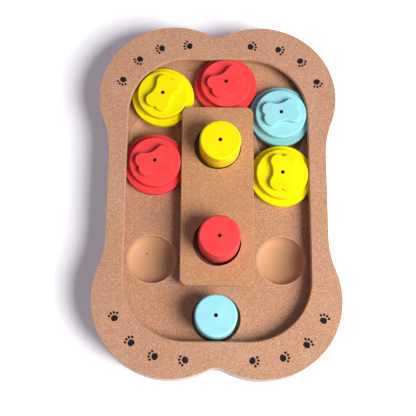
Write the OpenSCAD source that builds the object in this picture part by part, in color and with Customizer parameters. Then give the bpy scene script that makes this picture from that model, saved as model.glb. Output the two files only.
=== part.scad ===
// Puzzle feeder for dogs: a tray laminated from fibreboard sheets, with a T-slot channel that
// runs round an island, five captive sliders with bone grips and three lift-out pegs.
// Millimetres, +Z up, +Y along the board, origin at the centre of the underside.

/* [Board outline] */
// Width of the rim beside the slot, out to the lobes
rim_side_w = 24.6; // [22:0.2:40]
// Width of the rim beyond the slot's ends, out to the lobes
rim_end_w = 29.6; // [26:0.2:45]
// How far each side draws in from the lobes to the waist
waist_depth = 9.7; // [6:0.1:12]
// Radius of each of the four corner lobes
lobe_r = 63.6; // [60:0.2:68]
// Radius of the hollow that leads from a lobe into the waist
waist_fillet_r = 78; // [60:1:90]
// Radius of the hollow in the notch at each end
notch_fillet_r = 15; // [8:1:25]

/* [Sheets] */
// Thickness of the bottom sheet
bottom_t = 5; // [3:0.5:10]
// Thickness of the floor sheet, which holds the bowls and the end hole
floor_t = 10.5; // [10:0.5:14]
// Thickness of the spacers that make the undercut
spacer_t = 7; // [5:0.5:10]
// Thickness of the top sheets that overhang the undercut
top_t = 3.5; // [2:0.5:5]

/* [Channel] */
// Length of the island
island_len = 152.8; // [138:0.2:180]
// Width of the island
island_w = 60; // [56:0.2:74]
// Width of the two side lanes, from the slot's edge to the island
side_lane_w = 45.4; // [42:0.2:48]
// Width of the two end lanes
end_lane_w = 44; // [42:0.2:48]
// Corner radius of the slot
slot_corner_r = 50.5; // [47:0.5:54]
// Width of the channel round the island's corners
corner_lane_w = 44.5; // [42:0.1:46]
// How far the channel runs in under the top sheets on each side
undercut = 5.3; // [4.6:0.1:6]
// Corner radius of the island's spacer
island_spacer_corner_r = 3; // [2:0.5:6]
// Chamfer on the slot's upper edge
slot_ease = 1; // [0.4:0.1:1.5]
// Chamfer on the island's upper edge
island_ease = 0.5; // [0.2:0.1:1]

/* [Treat bowls] */
// Radius of a bowl at the channel floor
bowl_r = 19.9; // [15:0.1:21]
// Depth of a bowl
bowl_depth = 9; // [7:0.5:9.5]
// Radius of the round between a bowl's steep wall and its dished floor
bowl_wall_r = 6.5; // [4:0.1:6.5]
// Distance of a bowl's centre from the slot's end
bowl_inset = 67.1; // [62:0.1:74]

/* [Sliders] */
// Side clearance between a slider's disc and the edges of an end lane
disc_clearance = 0.7; // [0.5:0.1:1.2]
// Side clearance between a slider's flange and the undercut of an end lane
flange_clearance = 0.95; // [0.7:0.05:2]
// Gap between the flange and the underside of the top sheets
flange_headroom = 1.5; // [0.5:0.1:2.5]
// How far the disc stands above the board
disc_proud = 0.8; // [0.4:0.1:4]
// Rounding on the edges of flange and disc
disc_edge_r = 1; // [0.4:0.1:1.3]
// Radius of the scent hole through every slider and peg
scent_hole_r = 1.6; // [1:0.1:2.2]

/* [Bone grips] */
// Length of a bone grip over its knuckles
bone_len = 31; // [28:0.2:34]
// Width of a bone grip over its knuckles
bone_w = 20.6; // [19:0.1:22]
// Width of a bone grip at its waist
bone_waist_w = 15.8; // [14.6:0.1:17]
// Radius of a knuckle
knuckle_r = 6.2; // [5.8:0.1:6.8]
// Height of a bone grip above its disc
bone_h = 3.6; // [3:0.1:8]
// Rounding on the upper edge of a bone grip
bone_edge_r = 0.7; // [0.4:0.1:1.8]

/* [Pegs] */
// Radius of a peg
peg_r = 16.9; // [15:0.1:17.2]
// Side clearance of a centred peg in its hole
peg_clearance = 2.7; // [2.4:0.1:3]
// How far an island peg stands above the board
peg_proud = 19.5; // [12:0.5:24]
// Rounding on the top edge of a peg
peg_edge_r = 1.8; // [0.5:0.1:3]
// Rounding on the bottom edge of a peg
peg_foot_r = 0.6; // [0.3:0.1:1.2]
// Distance of an island hole's centre from the island's end
island_hole_inset = 35.6; // [28:0.1:40]

/* [Hidden] */
$fn = 96;
// Overshoot of a cutter past the face it cuts
cut = 1;
// How far the circle of a hollow runs into the lobe or knuckle beside it
blend_overlap = 0.04;
// Gap under a loose piece that rests on the board
rest_gap = 0.3;
// How far the end hole runs past the line of the slot's end
end_hole_overlap = 0.1;

// Heights
floor_z = bottom_t + floor_t;
top_sheet_z = floor_z + spacer_t;
board_z = top_sheet_z + top_t;

// Channel and island
slot_len = island_len + 2 * end_lane_w;
slot_w = island_w + 2 * side_lane_w;
lane_x = (slot_w - side_lane_w) / 2;
lane_y = (slot_len - end_lane_w) / 2;
turn_x = slot_w / 2 - slot_corner_r;
turn_y = slot_len / 2 - slot_corner_r;
turn_r = lane_x - turn_x;
island_corner_r = slot_corner_r - corner_lane_w;

// Board outline
board_len = slot_len + 2 * rim_end_w;
board_w = slot_w + 2 * rim_side_w;
waist_w = board_w - 2 * waist_depth;
lobe_x = board_w / 2 - lobe_r;
lobe_y = board_len / 2 - lobe_r;
waist_fillet_x = waist_w / 2 + waist_fillet_r;
waist_fillet_reach = lobe_r + waist_fillet_r - blend_overlap;
notch_fillet_reach = lobe_r + notch_fillet_r - blend_overlap;
waist_fillet_y = lobe_y - sqrt(pow(waist_fillet_reach, 2) - pow(waist_fillet_x - lobe_x, 2));
notch_fillet_y = lobe_y + sqrt(pow(notch_fillet_reach, 2) - pow(lobe_x, 2));

// Bowls: a wall round that starts upright at the rim and blends into a dished floor
bowl_y = slot_len / 2 - bowl_inset;
bowl_ring_r = bowl_r - bowl_wall_r;
// The wall's round runs into the dish by the overlap
bowl_bite = bowl_wall_r - blend_overlap;
bowl_dish_r = (pow(bowl_ring_r, 2) / (bowl_depth - bowl_bite) + bowl_depth + bowl_bite) / 2;
bowl_seam_r = bowl_ring_r * bowl_dish_r / (bowl_dish_r - bowl_bite);

// Pegs. The end hole goes through the floor sheet and lies against the slot's end.
peg_len = spacer_t + top_t + peg_proud - rest_gap;
peg_hole_r = peg_r + peg_clearance;
island_hole_y = island_len / 2 - island_hole_inset;
end_hole_y = slot_len / 2 - peg_hole_r + end_hole_overlap;

// Sliders, sized to run in the narrower lanes
narrow_lane_w = min(side_lane_w, end_lane_w);
disc_r = narrow_lane_w / 2 - disc_clearance;
flange_r = narrow_lane_w / 2 + undercut - flange_clearance;
side_play = side_lane_w / 2 - disc_r;
flange_z = floor_z + rest_gap;
flange_t = spacer_t - flange_headroom - rest_gap;
disc_z = flange_z + flange_t;
bone_z = board_z + disc_proud;

// Bone grips, drawn along X
knuckle_x = bone_len / 2 - knuckle_r;
knuckle_y = bone_w / 2 - knuckle_r;
// How far the bone's waist lies out from a knuckle's centre
bone_rise = bone_waist_w / 2 - knuckle_y;
// The hollow's circle runs into both knuckles by the overlap
bone_bite = knuckle_r - blend_overlap;
bone_hollow_r = (pow(knuckle_x, 2) + pow(bone_rise, 2) - pow(bone_bite, 2)) / (2 * (bone_bite - bone_rise));
bone_hollow_y = bone_waist_w / 2 + bone_hollow_r;

// Gaps between the flanges of neighbouring sliders, round the channel from the left
left_gap = 7.8;
corner_gap = 1.9;
right_upper_gap = 1.1;
right_lower_gap = 0.5;

// Place on the channel's turn, on the side given as 1 or -1, at distance d from p
function turn_place(side, p, d, drift) =
    let (c = [side * turn_x, turn_y], r = turn_r + drift, e = norm(p - c))
    let (swing = acos(max(-1, min(1, (e * e + r * r - d * d) / (2 * e * r)))))
    let (angle = atan2(p[1] - c[1], p[0] - c[0]) - side * swing)
    c + r * [cos(angle), sin(angle)];
// Place of the slider that follows the one at p down that side: in the lane, else on the turn
function next_place(side, p, gap, drift) =
    let (d = 2 * flange_r + gap, x = side * (lane_x + drift))
    let (y = p[1] - sqrt(max(0, d * d - pow(x - p[0], 2))))
    y <= turn_y ? [x, y] : turn_place(side, p, d, drift);

// Rest places. Each slider has drifted by a share of its play, outwards or to the island.
end_place = [6.9, lane_y + 0.05];
corner_place = next_place(-1, end_place, corner_gap, 0);
left_place = next_place(-1, corner_place, left_gap, -0.57 * side_play);
right_upper_place = next_place(1, end_place, right_upper_gap, 0.43 * side_play);
right_lower_place = next_place(1, right_upper_place, right_lower_gap, 0.64 * side_play);

// Where each peg stands in its loose hole, off its middle by shares of the clearance
upper_peg_place = [0.63 * peg_clearance, island_hole_y - 0.22 * peg_clearance];
lower_peg_place = [0.56 * peg_clearance, -island_hole_y + 0.3 * peg_clearance];
end_peg_place = [-0.3 * peg_clearance, -end_hole_y - 0.19 * peg_clearance];

fibreboard = [0.80, 0.61, 0.49];
yellow = [1.0, 0.93, 0.05];
red = [0.98, 0.29, 0.27];
blue = [0.63, 0.90, 0.93];

// ---- Outlines ----

// Puts the children at [x, y] in all four quadrants
module at_corners(x, y) {
    for (sx = [1, -1], sy = [1, -1])
        translate([sx * x, sy * y, 0])
            children();
}

// Four lobes, joined by a straight waist with hollows and by a rounded notch at each end
module board_outline() {
    half_waist = waist_w / 2;
    difference() {
        union() {
            at_corners(lobe_x, lobe_y)
                circle(r = lobe_r);
            polygon([
                [lobe_x, lobe_y], [0, notch_fillet_y], [-lobe_x, lobe_y],
                [-waist_fillet_x, waist_fillet_y], [-half_waist, waist_fillet_y],
                [-half_waist, -waist_fillet_y], [-waist_fillet_x, -waist_fillet_y],
                [-lobe_x, -lobe_y], [0, -notch_fillet_y], [lobe_x, -lobe_y],
                [waist_fillet_x, -waist_fillet_y], [half_waist, -waist_fillet_y],
                [half_waist, waist_fillet_y], [waist_fillet_x, waist_fillet_y]
            ]);
        }
        at_corners(waist_fillet_x, waist_fillet_y)
            circle(r = waist_fillet_r);
        for (s = [1, -1])
            translate([0, s * notch_fillet_y])
                circle(r = notch_fillet_r);
    }
}

module rounded_rect(size, r) {
    square([size[0] - 2 * r, size[1]], center = true);
    square([size[0], size[1] - 2 * r], center = true);
    at_corners(size[0] / 2 - r, size[1] / 2 - r)
        circle(r = r);
}

// Rounded rectangular slab that grows on every side by spread from its bottom to its top
module flared_slab(size, r, h, spread) {
    for (turn = [0, 1]) {
        across = size[turn] / 2;
        along = size[1 - turn] - 2 * r;
        rotate([0, 0, turn * 90])
            translate([0, along / 2, 0])
                rotate([90, 0, 0])
                    linear_extrude(height = along)
                        polygon([[-across, 0], [across, 0], [across + spread, h], [-across - spread, h]]);
    }
    at_corners(size[0] / 2 - r, size[1] / 2 - r)
        cylinder(r1 = r, r2 = r + spread, h = h);
}

// What a rounding of radius r takes off a square corner, its centre at the origin
module corner_waste(r) {
    difference() {
        square(r + cut);
        circle(r = r);
    }
}

// ---- Board ----

module bottom_sheet() {
    color(fibreboard)
        linear_extrude(height = bottom_t)
            board_outline();
}

// Cutter for a bowl that opens at z = 0
module bowl_cutter() {
    rotate_extrude()
        translate([bowl_ring_r, 0])
            circle(r = bowl_wall_r);
    intersection() {
        translate([0, 0, bowl_dish_r - bowl_depth])
            rotate([90, 0, 0])
                sphere(r = bowl_dish_r);
        translate([0, 0, -bowl_depth - cut])
            cylinder(r = bowl_seam_r, h = bowl_depth + 2 * cut);
    }
}

module floor_sheet() {
    color(fibreboard)
        difference() {
            translate([0, 0, bottom_t])
                linear_extrude(height = floor_t)
                    board_outline();
            at_corners(lane_x, bowl_y)
                translate([0, 0, floor_z])
                    bowl_cutter();
            translate([0, -end_hole_y, bottom_t - cut])
                cylinder(r = peg_hole_r, h = floor_t + 2 * cut);
        }
}

module rim_spacer() {
    color(fibreboard)
        translate([0, 0, floor_z])
            linear_extrude(height = spacer_t)
                difference() {
                    board_outline();
                    rounded_rect([slot_w + 2 * undercut, slot_len + 2 * undercut], slot_corner_r + undercut);
                }
}

module island_spacer() {
    color(fibreboard)
        translate([0, 0, floor_z])
            difference() {
                linear_extrude(height = spacer_t)
                    rounded_rect([island_w - 2 * undercut, island_len - 2 * undercut], island_spacer_corner_r);
                island_holes(spacer_t);
            }
}

module top_frame() {
    color(fibreboard)
        translate([0, 0, top_sheet_z])
            difference() {
                linear_extrude(height = top_t)
                    board_outline();
                translate([0, 0, -cut])
                    linear_extrude(height = top_t + 2 * cut)
                        rounded_rect([slot_w, slot_len], slot_corner_r);
                translate([0, 0, top_t - slot_ease])
                    flared_slab([slot_w, slot_len], slot_corner_r, slot_ease, slot_ease);
            }
}

module island_top() {
    color(fibreboard)
        translate([0, 0, top_sheet_z])
            difference() {
                union() {
                    linear_extrude(height = top_t - island_ease)
                        rounded_rect([island_w, island_len], island_corner_r);
                    translate([0, 0, top_t - island_ease])
                        flared_slab([island_w, island_len], island_corner_r, island_ease, -island_ease);
                }
                island_holes(top_t);
            }
}

// The two peg holes through an island sheet of thickness t
module island_holes(t) {
    for (s = [1, -1])
        translate([0, s * island_hole_y, -cut])
            cylinder(r = peg_hole_r, h = t + 2 * cut);
}

// ---- Sliders ----

// Turned piece with a scent hole down its middle, its outer edges rounded off
module turned(r, h, bottom_r, top_r) {
    rotate_extrude()
        difference() {
            translate([scent_hole_r, 0])
                square([r - scent_hole_r, h]);
            if (bottom_r > 0)
                translate([r - bottom_r, bottom_r])
                    mirror([0, 1])
                        corner_waste(bottom_r);
            translate([r - top_r, h - top_r])
                corner_waste(top_r);
        }
}

module slider_flange(place, tint) {
    color(tint)
        translate([place[0], place[1], flange_z])
            turned(flange_r, flange_t, disc_edge_r, disc_edge_r);
}

module slider_disc(place, tint) {
    color(tint)
        translate([place[0], place[1], disc_z])
            turned(disc_r, bone_z - disc_z, 0, disc_edge_r);
}

// One knuckle of a bone grip, its upper edge rounded off
module knuckle() {
    rotate_extrude()
        difference() {
            square([knuckle_r, bone_h]);
            translate([knuckle_r - bone_edge_r, bone_h - bone_edge_r])
                corner_waste(bone_edge_r);
        }
}

// Cutter for one side of a bone's waist, flared to round off the upper edge that it leaves
module waist_cutter() {
    rotate_extrude()
        difference() {
            translate([0, -cut])
                square([bone_hollow_r + bone_edge_r, bone_h + 2 * cut]);
            translate([bone_hollow_r, -2 * cut])
                square([bone_edge_r + cut, bone_h - bone_edge_r + 2 * cut]);
            translate([bone_hollow_r + bone_edge_r, bone_h - bone_edge_r])
                circle(r = bone_edge_r);
        }
}

// Bone grip along X
module bone_solid() {
    difference() {
        union() {
            translate([-knuckle_x, -knuckle_y, 0])
                cube([2 * knuckle_x, 2 * knuckle_y, bone_h]);
            at_corners(knuckle_x, knuckle_y)
                knuckle();
            linear_extrude(height = bone_h)
                for (s = [1, -1])
                    polygon([[-knuckle_x, s * knuckle_y], [knuckle_x, s * knuckle_y], [0, s * bone_hollow_y]]);
        }
        for (s = [1, -1])
            translate([0, s * bone_hollow_y, 0])
                waist_cutter();
        translate([0, 0, -cut])
            cylinder(r = scent_hole_r, h = bone_h + 2 * cut);
    }
}

module slider_bone(place, angle, tint) {
    color(tint)
        translate([place[0], place[1], bone_z])
            rotate([0, 0, angle])
                bone_solid();
}

module corner_slider_flange() { slider_flange(corner_place, yellow); }
module corner_slider_disc() { slider_disc(corner_place, yellow); }
module corner_slider_bone() { slider_bone(corner_place, 62, yellow); }

module end_slider_flange() { slider_flange(end_place, red); }
module end_slider_disc() { slider_disc(end_place, red); }
module end_slider_bone() { slider_bone(end_place, 30, red); }

module left_slider_flange() { slider_flange(left_place, red); }
module left_slider_disc() { slider_disc(left_place, red); }
module left_slider_bone() { slider_bone(left_place, 23, red); }

module right_upper_slider_flange() { slider_flange(right_upper_place, blue); }
module right_upper_slider_disc() { slider_disc(right_upper_place, blue); }
module right_upper_slider_bone() { slider_bone(right_upper_place, 11, blue); }

module right_lower_slider_flange() { slider_flange(right_lower_place, yellow); }
module right_lower_slider_disc() { slider_disc(right_lower_place, yellow); }
module right_lower_slider_bone() { slider_bone(right_lower_place, 87, yellow); }

// ---- Pegs ----

module peg(place, seat_z, tint) {
    color(tint)
        translate([place[0], place[1], seat_z + rest_gap])
            turned(peg_r, peg_len, peg_foot_r, peg_edge_r);
}

module upper_peg() { peg(upper_peg_place, floor_z, yellow); }
module lower_peg() { peg(lower_peg_place, floor_z, red); }
module end_peg() { peg(end_peg_place, bottom_t, blue); }

bottom_sheet();
floor_sheet();
rim_spacer();
island_spacer();
top_frame();
island_top();
corner_slider_flange();
corner_slider_disc();
corner_slider_bone();
end_slider_flange();
end_slider_disc();
end_slider_bone();
left_slider_flange();
left_slider_disc();
left_slider_bone();
right_upper_slider_flange();
right_upper_slider_disc();
right_upper_slider_bone();
right_lower_slider_flange();
right_lower_slider_disc();
right_lower_slider_bone();
upper_peg();
lower_peg();
end_peg();
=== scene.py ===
import math

import bmesh
import bpy
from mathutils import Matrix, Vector


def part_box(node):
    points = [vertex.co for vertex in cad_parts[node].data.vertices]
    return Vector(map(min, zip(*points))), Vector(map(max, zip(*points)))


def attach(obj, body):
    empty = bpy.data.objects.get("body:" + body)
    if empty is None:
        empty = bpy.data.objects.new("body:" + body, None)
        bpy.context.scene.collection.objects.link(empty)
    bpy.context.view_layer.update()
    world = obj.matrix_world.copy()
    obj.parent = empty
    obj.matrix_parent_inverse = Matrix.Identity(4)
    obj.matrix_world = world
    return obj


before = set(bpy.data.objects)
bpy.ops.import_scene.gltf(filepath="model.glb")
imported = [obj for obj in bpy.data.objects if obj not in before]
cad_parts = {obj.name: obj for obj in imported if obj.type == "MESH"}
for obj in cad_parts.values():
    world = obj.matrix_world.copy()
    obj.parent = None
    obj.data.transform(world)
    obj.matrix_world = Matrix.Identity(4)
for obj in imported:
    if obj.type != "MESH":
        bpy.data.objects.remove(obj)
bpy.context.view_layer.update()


# ---------------------------------------------------------------------------
# Board: six sheets of raw fibreboard, routed to shape and glued face to face.
# The faces are speckled, and the sawn edges pale with glue lines. Tools have
# darkened the channel. Painted shade darkens its walls under the lips and the
# holes for the pegs, and painted highlights lie on the arrises and bowl brinks.
# ---------------------------------------------------------------------------

MM = 0.001
SHEETS = ("bottom_sheet", "floor_sheet", "rim_spacer", "island_spacer", "top_frame", "island_top")

# Places in millimetres. A soft edge is where it starts and where it ends,
# and a width is half of a line's own and then its fade.
GLUE_LINES = (5.0, 15.5, 22.5)
GLUE_LINE_WIDTH = (0.1, 0.25)
CHANNEL_FLOOR = 15.5
FLOOR_EDGE = (CHANNEL_FLOOR + 0.2, CHANNEL_FLOOR + 0.8)
BOWL_EDGE = (CHANNEL_FLOOR - 0.5, CHANNEL_FLOOR - 0.1)
LIP_EDGE = (22.0, 23.0)
PEG_HOLE_OFFSET = 40.8
PEG_HOLE_RADIUS = 19.6
PEG_HOLE_EDGE = (PEG_HOLE_RADIUS + 0.1, PEG_HOLE_RADIUS + 0.4)
# Height below which the peg holes get painted shade
PEG_HOLE_SHADE_EDGE = (25.3, 25.7)
BOWL_CENTRE = (52.7, 53.3)
BOWL_RADIUS = 19.9
BRINK_RADIUS = BOWL_RADIUS + 0.2
BRINK_WIDTH = (0.25, 0.3)
BRINK_EDGE = (14.5, 15.3)
BARK_SPECK = (-57.3, -47.1, 7.5)
BARK_EDGE = (0.55, 0.95)

# What lies inside this half width and half length is the channel and the island.
# The soft edge is a share of them.
INSIDE = (82.0, 128.0)
INSIDE_EDGE = (0.995, 1.005)

# Grain: size in millimetres, detail and roughness, and the level where it starts to show
FIBRES = (1.25, 2.0, 0.6)
FIBRE_SHOW = (0.46, 0.62)
DUST = (0.75, 2.0, 0.6)
DUST_SHOW = (0.47, 0.66)
FLECKS = (2.0, 1.0, 0.5)
FLECK_SHOW = (0.76, 0.82)
CLOUDS = (34, 2.0, 0.5)
CLOUD_SHOW = (0.3, 0.7)

# Slope, from 0 on a side to 1 on a face: where a side ends, and the arris between
# the two. Its pale wear and painted highlight outside the channel, how much less
# there is inside, and the painted shade on the arrises round the channel.
SIDE_EDGE = (0.2, 0.45)
ARRIS = 0.707
ARRIS_WIDTH = (0.08, 0.1)
INSIDE_ARRIS_SHADE_WIDTH = (0.2, 0.1)
ARRIS_WEAR_AND_HIGHLIGHT = 0.5
ARRIS_LESS_INSIDE = 0.45

# The surface: roughness, gloss, and the height of the grain in millimetres
BOARD_ROUGH = 0.6
FIBRE_ROUGH = 0.2
BOARD_GLOSS = 0.45
BOARD_RELIEF = 0.07
DUST_RELIEF = 0.6
BOWL_SMOOTHING = 0.8


def paint_chart(red, green, blue):
    """A colour as a swatch book gives it, 0 to 255, in the linear form that shaders take."""
    shares = (red / 255, green / 255, blue / 255)
    return (*(s / 12.92 if s <= 0.04045 else ((s + 0.055) / 1.055) ** 2.4 for s in shares), 1.0)


class Wire:
    """One value in a finish's node tree, for use in plain arithmetic."""

    def __init__(self, finish, socket):
        self.finish = finish
        self.socket = socket

    def math(self, operation, first, second=0.0):
        return self.finish.add("ShaderNodeMath", {"operation": operation}, {0: first, 1: second})

    def __add__(self, other):
        return self.math("ADD", self, other)

    def __radd__(self, other):
        return self.math("ADD", other, self)

    def __sub__(self, other):
        return self.math("SUBTRACT", self, other)

    def __rsub__(self, other):
        return self.math("SUBTRACT", other, self)

    def __mul__(self, other):
        return self.math("MULTIPLY", self, other)

    def __rmul__(self, other):
        return self.math("MULTIPLY", other, self)

    def __abs__(self):
        return self.math("ABSOLUTE", self)

    def larger(self, other):
        return self.math("MAXIMUM", self, other)

    def hypot(self, other):
        """The straight distance to a point that lies self across and other along."""
        return self.math("SQRT", self * self + other * other)


class Finish:
    """A surface finish: a material with its Principled shader and a short way to add nodes."""

    def __init__(self, name):
        self.material = bpy.data.materials.new(name)
        self.material.use_nodes = True
        self.tree = self.material.node_tree
        self.shader = self.tree.nodes["Principled BSDF"]

    def add(self, kind, settings=None, sockets=None, output=0):
        node = self.tree.nodes.new(kind)
        for name, value in (settings or {}).items():
            setattr(node, name, value)
        for name, value in (sockets or {}).items():
            self.plug(node.inputs[name], value)
        return Wire(self, node.outputs[output])

    def plug(self, socket, value):
        if isinstance(value, Wire):
            self.tree.links.new(value.socket, socket)
        else:
            socket.default_value = value

    def set(self, **inputs):
        for name, value in inputs.items():
            self.plug(self.shader.inputs[name.replace("_", " ")], value)

    def blend(self, share, first, second):
        """Mixes two colours: share 0 gives the first, 1 the second."""
        return self.add("ShaderNodeMix", {"data_type": "RGBA"}, {0: share, 6: first, 7: second}, 2)

    def stain_or_shade(self, base, mask, stain_or_shade, much=1.0):
        """Lays a stain or painted shade, its strength and its colour, over the base where the mask is 1.
        """
        strength, colour = stain_or_shade
        return self.blend(mask * (strength * much), base, colour)

    def ease(self, value, low, high):
        """0 below low, 1 above high, smooth between."""
        spots = {"Value": value, "From Min": low, "From Max": high}
        return self.add("ShaderNodeMapRange", {"interpolation_type": "SMOOTHSTEP"}, spots)

    def above(self, length, edge):
        """1 above a soft edge in millimetres, 0 below it."""
        return self.ease(length, edge[0] * MM, edge[1] * MM)

    def below(self, length, edge):
        return 1 - self.above(length, edge)

    def band(self, value, middle, half, fade):
        """1 where value lies within half of the middle, fading to 0 over fade."""
        return 1 - self.ease(abs(value - middle), half, half + fade)

    def line(self, length, middle, width):
        """A band whose middle is in metres and its width in millimetres."""
        return self.band(length, middle, width[0] * MM, width[1] * MM)

    def place(self):
        """Where a point lies on the piece, in metres."""
        return self.add("ShaderNodeTexCoord", output="Object")

    def along(self, vector, axis):
        return self.add("ShaderNodeSeparateXYZ", sockets={0: vector}, output=axis)

    def upright(self):
        """How far the surface faces up or down: 1 for a flat face, 0 for a side."""
        return abs(self.along(self.add("ShaderNodeTexCoord", output="Normal"), 2))

    def grain(self, kind, where):
        """Cloudy noise whose spots are about as large as the grain's size."""
        size, detail, rough = kind
        spots = {"Vector": where, "Scale": 1 / (size * MM), "Detail": detail, "Roughness": rough}
        return self.add("ShaderNodeTexNoise", sockets=spots)

    def bump(self, height, depth):
        """A normal pressed in by height, depth in millimetres."""
        spots = {"Height": height, "Distance": depth * MM, "Strength": 1.0}
        return self.add("ShaderNodeBump", sockets=spots)

    def coat(self, node):
        """Puts the finish on a solid."""
        for slot in node.material_slots:
            slot.material = self.material


# The board's colours: plain ones, and stains with their strength
BOARD_TONES = (paint_chart(196, 146, 113), paint_chart(189, 138, 105))
ISLAND_TONES = (paint_chart(195, 139, 93), paint_chart(188, 132, 87))
BOARD_SPECKLE = 1.0
ISLAND_SPECKLE = 0.8
LIP_WALL = paint_chart(184, 136, 106)
# Painted shade on the walls under the lips
UNDER_LIP_WALL_SHADE = paint_chart(84, 66, 58)
# Painted shade on the walls of the peg holes
PEG_HOLE_SHADE = paint_chart(74, 56, 46)
SAWN_EDGE = paint_chart(198, 174, 162)
SAWN_FIBRES = paint_chart(222, 203, 194)
# Pale wear and painted highlight on the arrises
WORN_ARRIS_HIGHLIGHT = paint_chart(238, 205, 180)
BARK = paint_chart(56, 32, 24)
# Painted highlight round the brink of each bowl
BRINK_HIGHLIGHT = paint_chart(236, 200, 172)
BRINK_HIGHLIGHT_SHARE = 0.5
ROUTED_FLOOR = (0.6, paint_chart(188, 130, 92))
FIBRE_STAIN = (0.45, paint_chart(156, 102, 75))
DUST_STAIN = (0.55, paint_chart(243, 203, 170))
FLECK_STAIN = (0.6, paint_chart(112, 70, 48))
# Painted shade on the floor inside the peg holes
PEG_HOLE_FLOOR_SHADE = (0.5, PEG_HOLE_SHADE)
GLUE_STAIN = (0.5, paint_chart(158, 126, 106))
# Painted shade on the arrises round the channel
INSIDE_ARRIS_SHADE = (0.35, paint_chart(164, 118, 92))
BOWL_FLOOR = (0.85, paint_chart(199, 149, 109))


def fibreboard(name, tones, speckle):
    """Raw fibreboard as a sheet of the board wears it, on its faces, walls, holes and bowls."""
    board = Finish(name)
    where = board.place()
    across, along, height = (board.along(where, axis) for axis in range(3))
    up = board.upright()
    fibres = board.grain(FIBRES, where)
    dust = board.grain(DUST, where)
    flecks = board.grain(FLECKS, where)
    clouds = board.grain(CLOUDS, where)

    pale, deep = tones
    face = board.blend(board.ease(clouds, *CLOUD_SHOW), deep, pale)
    routed = board.below(height, FLOOR_EDGE)
    face = board.stain_or_shade(face, routed, ROUTED_FLOOR)
    face = board.stain_or_shade(face, board.ease(fibres, *FIBRE_SHOW), FIBRE_STAIN, speckle)
    face = board.stain_or_shade(face, board.ease(dust, *DUST_SHOW), DUST_STAIN, speckle)
    face = board.stain_or_shade(face, board.ease(flecks, *FLECK_SHOW), FLECK_STAIN)

    # Router-cut walls inside the board: brown, and darker under the lips with painted shade
    reach_across = abs(across) * (1 / (INSIDE[0] * MM))
    reach_along = abs(along) * (1 / (INSIDE[1] * MM))
    inside = 1 - board.ease(reach_across.larger(reach_along), *INSIDE_EDGE)
    cut = board.blend(board.below(height, LIP_EDGE), LIP_WALL, UNDER_LIP_WALL_SHADE)

    # Holes for the island's pegs, darkened with painted shade on their walls and floor
    from_hole = across.hypot(abs(along) - PEG_HOLE_OFFSET * MM)
    hole_shade = board.below(from_hole, PEG_HOLE_EDGE) * board.below(height, PEG_HOLE_SHADE_EDGE)
    cut = board.blend(hole_shade, cut, PEG_HOLE_SHADE)
    face = board.stain_or_shade(face, hole_shade, PEG_HOLE_FLOOR_SHADE)

    # Sawn edges round the outside, pale, with a line where two sheets are glued
    sawn = board.blend(fibres, SAWN_EDGE, SAWN_FIBRES)
    for level in GLUE_LINES:
        sawn = board.stain_or_shade(sawn, board.line(height, level * MM, GLUE_LINE_WIDTH), GLUE_STAIN)

    # Arrises, worn pale with a painted highlight outside, and given painted shade round the channel
    wear_and_painted_light = ARRIS_WEAR_AND_HIGHLIGHT - ARRIS_LESS_INSIDE * inside
    arris = board.band(up, ARRIS, *ARRIS_WIDTH) * (1 - routed) * wear_and_painted_light
    face = board.blend(arris, face, WORN_ARRIS_HIGHLIGHT)
    arris_shade = board.band(up, ARRIS, *INSIDE_ARRIS_SHADE_WIDTH) * (1 - routed) * inside
    face = board.stain_or_shade(face, arris_shade, INSIDE_ARRIS_SHADE)
    side = 1 - board.ease(up, *SIDE_EDGE)
    base = board.blend(side, face, board.blend(inside, sawn, cut))

    # Bowls, worked smooth, with a painted highlight round the brink and one dark speck of bark
    bowl = board.below(height, BOWL_EDGE) * inside
    base = board.stain_or_shade(base, bowl, BOWL_FLOOR)
    speck = [v * MM for v in BARK_SPECK]
    away = board.add("ShaderNodeVectorMath", {"operation": "DISTANCE"}, {0: where, 1: speck}, 1)
    base = board.blend(board.below(away, BARK_EDGE), base, BARK)
    from_bowl = (abs(across) - BOWL_CENTRE[0] * MM).hypot(abs(along) - BOWL_CENTRE[1] * MM)
    brink_highlight = board.line(from_bowl, BRINK_RADIUS * MM, BRINK_WIDTH) * routed
    base = board.blend(brink_highlight * (BRINK_HIGHLIGHT_SHARE * board.above(height, BRINK_EDGE)), base, BRINK_HIGHLIGHT)

    relief = (fibres + DUST_RELIEF * dust) * (1 - BOWL_SMOOTHING * bowl)
    board.set(Base_Color=base, Roughness=BOARD_ROUGH + FIBRE_ROUGH * fibres)
    board.set(Specular_IOR_Level=BOARD_GLOSS, Normal=board.bump(relief, BOARD_RELIEF))
    return board


BOARD_FINISH = fibreboard("raw_fibreboard", BOARD_TONES, BOARD_SPECKLE)
ISLAND_FINISH = fibreboard("island_fibreboard", ISLAND_TONES, ISLAND_SPECKLE)
for sheet in SHEETS:
    finish = ISLAND_FINISH if sheet == "island_top" else BOARD_FINISH
    finish.coat(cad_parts[sheet])


# ---------------------------------------------------------------------------
# Paw prints: sixteen small paws screened in black ink on the rim, four round
# each lobe. The screen sits a little off the middle of the board.
# ---------------------------------------------------------------------------

BOARD_TOP = 26.0
INK_LAYER = (0.01, 0.05)
SCREEN_SHIFT = (1.83, -1.47)

# The paws of one lobe: place in millimetres, and where the toes point, in degrees
PAWS = (
    ((26.2, 133.9), 13),
    ((50.0, 131.5), -16),
    ((68.7, 121.1), -52),
    ((82.4, 101.9), -67),
)
PAD = (5.0, 5.7)
TOE_DOT = (2.2, 2.0)
TOE_REACH = 4.65
TOE_ANGLES = (-48, -16, 16, 48)
DOT_POINTS = 24
DOT_WAVES = (3, 5)
DOT_WOBBLE = 0.03

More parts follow.
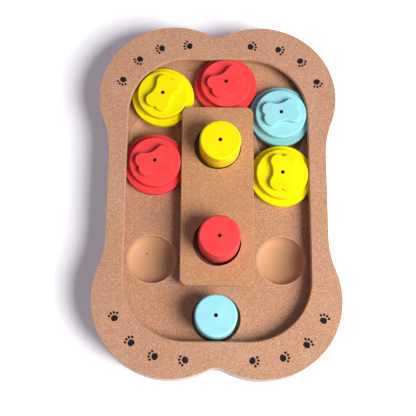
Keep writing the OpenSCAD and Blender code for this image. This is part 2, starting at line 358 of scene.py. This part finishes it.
FRESH_INK = paint_chart(14, 17, 22)
THIN_INK = paint_chart(52, 49, 48)
INK_PATCHES = (1.2, 3.0, 0.7)
INK_THINNING = (0.5, 0.8)
INK_ROUGH = 0.6
PATCH_ROUGH = 0.2
INK_GLOSS = 0.15
INK_RELIEF = 0.02


def ink_dot(mesh, x, y, size, turn):
    """A flat oval of ink on the board's face, its outline a little uneven."""
    rings = []
    for level in INK_LAYER:
        ring = []
        for k in range(DOT_POINTS):
            a = 2 * math.pi * k / DOT_POINTS
            slow = DOT_WOBBLE * math.sin(DOT_WAVES[0] * a + x)
            quick = DOT_WOBBLE * math.sin(DOT_WAVES[1] * a + y)
            r = 1 + slow + quick
            px = size[0] / 2 * r * math.cos(a)
            py = size[1] / 2 * r * math.sin(a)
            spot = Vector((
                x + px * math.cos(turn) - py * math.sin(turn),
                y + px * math.sin(turn) + py * math.cos(turn),
                BOARD_TOP + level,
            ))
            ring.append(mesh.verts.new(spot * MM))
        rings.append(ring)
    low, high = rings
    mesh.faces.new(low[::-1])
    mesh.faces.new(high)
    for k in range(DOT_POINTS):
        n = (k + 1) % DOT_POINTS
        mesh.faces.new((low[k], low[n], high[n], high[k]))


def paw(mesh, x, y, heading):
    """One pad with four toes fanned in front of it."""
    ink_dot(mesh, x, y, PAD, heading)
    for toe in TOE_ANGLES:
        a = heading + math.radians(toe)
        ink_dot(mesh, x + TOE_REACH * math.cos(a), y + TOE_REACH * math.sin(a), TOE_DOT, a)


def screen_ink():
    ink = Finish("screen_ink")
    patchy = ink.grain(INK_PATCHES, ink.place())
    ink.set(Base_Color=ink.blend(ink.ease(patchy, *INK_THINNING), FRESH_INK, THIN_INK))
    ink.set(Roughness=INK_ROUGH + PATCH_ROUGH * patchy, Specular_IOR_Level=INK_GLOSS)
    ink.set(Normal=ink.bump(patchy, INK_RELIEF))
    return ink.material


def paw_prints():
    mesh = bmesh.new()
    for side in (1, -1):
        for end in (1, -1):
            for (px, py), fan in PAWS:
                lean = math.radians(fan)
                heading = math.atan2(end * math.sin(lean), side * math.cos(lean))
                paw(mesh, side * px + SCREEN_SHIFT[0], end * py + SCREEN_SHIFT[1], heading)
    data = bpy.data.meshes.new("paw_prints")
    mesh.to_mesh(data)
    mesh.free()
    piece = bpy.data.objects.new("paw_prints", data)
    bpy.context.scene.collection.objects.link(piece)
    data.materials.append(screen_ink())
    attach(piece, "board")


paw_prints()


# ---------------------------------------------------------------------------
# Sliders: flange, disc and bone grip, cut from fibreboard, glued together,
# sprayed with matt satin paint and then drilled, so that the hole shows raw
# board, darkened with painted shade. They run captive in the channel, and
# painted shade darkens their sides and flanges.
# ---------------------------------------------------------------------------

# Each paint: its full coat, its faint clouds, and its painted shade for the sides and flanges
PAINTS = {
    "yellow": (paint_chart(255, 246, 0), paint_chart(254, 237, 0), paint_chart(238, 172, 0)),
    "red": (paint_chart(255, 78, 81), paint_chart(252, 71, 74), paint_chart(200, 48, 66)),
    "blue": (paint_chart(168, 238, 250), paint_chart(160, 232, 244), paint_chart(132, 200, 206)),
    # A copy of the blue paint, darker as painted shade
    "blue_in_shade": (paint_chart(166, 234, 244), paint_chart(158, 228, 237), paint_chart(118, 178, 182)),
}
SLIDERS = {
    "corner_slider": "yellow",
    "end_slider": "red",
    "left_slider": "red",
    # Painted in the shaded copy of the blue
    "right_upper_slider": "blue_in_shade",
    "right_lower_slider": "yellow",
}
# Painted shade on each paint's flanges
FLANGE_SHADE = {"yellow": 0.0, "red": 0.2, "blue_in_shade": 0.6}
FLANGE_TOP = 21.0
FLANGE_EDGE = (FLANGE_TOP + 0.1, FLANGE_TOP + 0.5)
SCENT_HOLE = 1.6
SCENT_HOLE_EDGE = (SCENT_HOLE, SCENT_HOLE + 0.08)
# Raw board in the scent hole, darkened as painted shade
RAW_HOLE_SHADE = paint_chart(128, 82, 58)
# Painted shade on the sides of the sliders
SLIDER_SIDE_SHADE = 0.9

# Grain of the paint, and of the board's layers that show through on the sides
COAT_CLOUDS = (12, 2.0, 0.5)
ORANGE_PEEL = (0.8, 2.0, 0.5)
LAYERS = (0.9, 2.0, 0.5)
LAYERS_FLATTEN = (0.08, 0.08, 1.0)
LAYER_SHOW = (0.35, 0.65)
PAINT_SIDE_EDGE = (0.1, 0.6)

PAINT_ROUGH = 0.5
CLOUD_ROUGH = 0.12
RAW_ROUGH = 0.2
PAINT_GLOSS = 0.14
PAINT_RELIEF = 0.012
LAYER_RELIEF = 3


class SatinPaint(Finish):
    """Sprayed paint on one toy piece, with faint clouds, orange peel, painted shade on its sides and a
    raw drilled hole.
    """

    def __init__(self, name, colour, hole_of, side_shade):
        super().__init__(name)
        main, shade, deep = PAINTS[colour]
        where = self.place()
        self.clouds = self.grain(COAT_CLOUDS, where)
        peel = self.grain(ORANGE_PEEL, where)
        self.height = self.along(where, 2)
        self.side = 1 - self.ease(self.upright(), *PAINT_SIDE_EDGE)
        flat = self.add("ShaderNodeVectorMath", {"operation": "MULTIPLY"}, {0: where, 1: LAYERS_FLATTEN})
        layers = self.grain(LAYERS, flat)
        self.texture = peel + LAYER_RELIEF * self.side * layers
        coats = self.blend(self.ease(self.clouds, *CLOUD_SHOW), main, shade)
        # Painted shade on the sides, broken up by the board's layers
        self.base = self.blend(self.side * (side_shade * self.ease(layers, *LAYER_SHOW)), coats, deep)
        low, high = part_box(hole_of)
        dx = self.along(where, 0) - (low[0] + high[0]) / 2
        dy = self.along(where, 1) - (low[1] + high[1]) / 2
        self.bare = self.below(dx.hypot(dy), SCENT_HOLE_EDGE)

    def dry(self):
        """Joins the coats and their texture to the shader, with the bare hole through them in painted
        shade.
        """
        base = self.blend(self.bare, self.base, RAW_HOLE_SHADE)
        roughness = PAINT_ROUGH + CLOUD_ROUGH * self.clouds + RAW_ROUGH * self.bare
        self.set(Base_Color=base, Roughness=roughness, Specular_IOR_Level=PAINT_GLOSS)
        self.set(Normal=self.bump(self.texture, PAINT_RELIEF))


for slider, colour in SLIDERS.items():
    paint = SatinPaint(slider + "_paint", colour, slider + "_disc", SLIDER_SIDE_SHADE)
    # Painted shade on the flange
    wear_and_painted_light = (FLANGE_SHADE[colour], PAINTS[colour][2])
    paint.base = paint.stain_or_shade(paint.base, paint.below(paint.height, FLANGE_EDGE), wear_and_painted_light)
    paint.dry()
    for layer in ("flange", "disc", "bone"):
        paint.coat(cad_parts[slider + "_" + layer])


# ---------------------------------------------------------------------------
# Pegs: turned from fibreboard rounds glued in a stack, painted like the
# sliders and loose in their holes. The glue lines show as fine pale rings.
# ---------------------------------------------------------------------------

PEGS = {"upper_peg": "yellow", "lower_peg": "red", "end_peg": "blue"}
# Painted shade on the sides of the pegs
PEG_SIDE_SHADE = 0.8
RINGS_BELOW_TOP = (6.5, 11.5, 20.0)
RING_WIDTH = (0.15, 0.35)
RING_STAIN = (0.35, paint_chart(255, 246, 196))
RING_RELIEF = 4

for peg, colour in PEGS.items():
    paint = SatinPaint(peg + "_paint", colour, peg, PEG_SIDE_SHADE)
    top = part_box(peg)[1][2]
    for drop in RINGS_BELOW_TOP:
        ring = paint.line(paint.height, top - drop * MM, RING_WIDTH) * paint.side
        paint.base = paint.stain_or_shade(paint.base, ring, RING_STAIN)
        paint.texture = paint.texture - RING_RELIEF * ring
    paint.dry()
    paint.coat(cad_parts[peg])


# ---------------------------------------------------------------------------
# Table, lamp and camera: a white sweep under one wide soft lamp from the right,
# seen from above the lower edge of the board. The sweep glows faintly in the
# view and in reflections alone, which softens the shadow that lies on it.
# ---------------------------------------------------------------------------

# Sizes and places are in metres here, turns in degrees, lens and sensor in millimetres
WHITE = (1, 1, 1, 1)
BLACK = (0, 0, 0, 1)
AMBIENT = 0.14
AMBIENT_TINT = (1.05, 0.93, 1.14, 1.0)
TABLE_HALF = 3.0
TABLE_DROP = 0.0001
TABLE_LIT = (0.9, 0.9, 0.9, 1)
TABLE_SEEN = (1.2, 1.23, 1.25)
TABLE_GLOW = (0.092, 0.08, 0.09, 1.0)
LAMP_SIZE = 1.2
LAMP_DISTANCE = 1.9
LAMP_AZIMUTH = -30.3
LAMP_HEIGHT = 39.5
LAMP_POWER = 54.5
LAMP_TINT = (1.0, 0.985, 0.96)
LENS = 74.42
SENSOR_WIDTH = 36
CAMERA_NEAR = 0.01
CAMERA_FAR = 20
CAMERA_PLACE = (-0.01833, -0.20227, 0.70215)
CAMERA_TURN = (15.682, -0.238, 0.664)
CAMERA_SHIFT = 0.030


class Surroundings(Finish):
    """The world round the table, built the way the finishes are."""

    def __init__(self, name):
        world = bpy.data.worlds.new(name)
        world.use_nodes = True
        bpy.context.scene.world = world
        self.tree = world.node_tree
        self.shader = self.tree.nodes["Background"]


def seen_directly(finish):
    """1 for rays that show the background itself, in the view or in a reflection."""
    camera_ray = finish.add("ShaderNodeLightPath", output="Is Camera Ray")
    glossy_ray = finish.add("ShaderNodeLightPath", output="Is Glossy Ray")
    transmission_ray = finish.add("ShaderNodeLightPath", output="Is Transmission Ray")
    return camera_ray.larger(glossy_ray).larger(transmission_ray)


def table_top():
    mesh = bpy.data.meshes.new("table")
    s = TABLE_HALF
    mesh.from_pydata([(-s, -s, 0), (s, -s, 0), (s, s, 0), (-s, s, 0)], [], [(0, 1, 2, 3)])
    table = bpy.data.objects.new("table", mesh)
    bpy.context.scene.collection.objects.link(table)
    table.location.z = -TABLE_DROP
    sweep = Finish("white_sweep")
    away = sweep.add("ShaderNodeVectorMath", {"operation": "LENGTH"}, {0: sweep.place()}, 1)
    paler = {axis: TABLE_SEEN[axis] * (1 + away * away) for axis in range(3)}
    seen = sweep.add("ShaderNodeCombineColor", sockets=paler)
    direct = seen_directly(sweep)
    sweep.set(Base_Color=sweep.blend(direct, TABLE_LIT, seen), Roughness=1.0, Specular_IOR_Level=0.0)
    sweep.set(Emission_Color=sweep.blend(direct, BLACK, TABLE_GLOW), Emission_Strength=1.0)
    mesh.materials.append(sweep.material)


def white_room():
    room = Surroundings("white_room")
    direct = seen_directly(room)
    room.set(Color=room.blend(direct, AMBIENT_TINT, WHITE))
    room.set(Strength=AMBIENT + (1 - AMBIENT) * direct)


def soft_lamp():
    data = bpy.data.lights.new("soft_lamp", "AREA")
    data.shape = "DISK"
    data.size = LAMP_SIZE
    data.energy = LAMP_POWER
    data.color = LAMP_TINT
    lamp = bpy.data.objects.new("soft_lamp", data)
    bpy.context.scene.collection.objects.link(lamp)
    a = math.radians(LAMP_AZIMUTH)
    e = math.radians(LAMP_HEIGHT)
    towards = Vector((math.cos(a) * math.cos(e), math.sin(a) * math.cos(e), math.sin(e)))
    lamp.location = towards * LAMP_DISTANCE
    lamp.rotation_mode = "QUATERNION"
    lamp.rotation_quaternion = towards.to_track_quat("Z", "Y")


def camera():
    data = bpy.data.cameras.new("camera")
    data.sensor_width = SENSOR_WIDTH
    data.lens = LENS
    data.shift_x = CAMERA_SHIFT
    data.clip_start = CAMERA_NEAR
    data.clip_end = CAMERA_FAR
    view = bpy.data.objects.new("camera", data)
    bpy.context.scene.collection.objects.link(view)
    view.location = CAMERA_PLACE
    view.rotation_euler = [math.radians(t) for t in CAMERA_TURN]
    bpy.context.scene.camera = view


table_top()
white_room()
soft_lamp()
camera()
bpy.context.scene.view_settings.view_transform = "Standard"
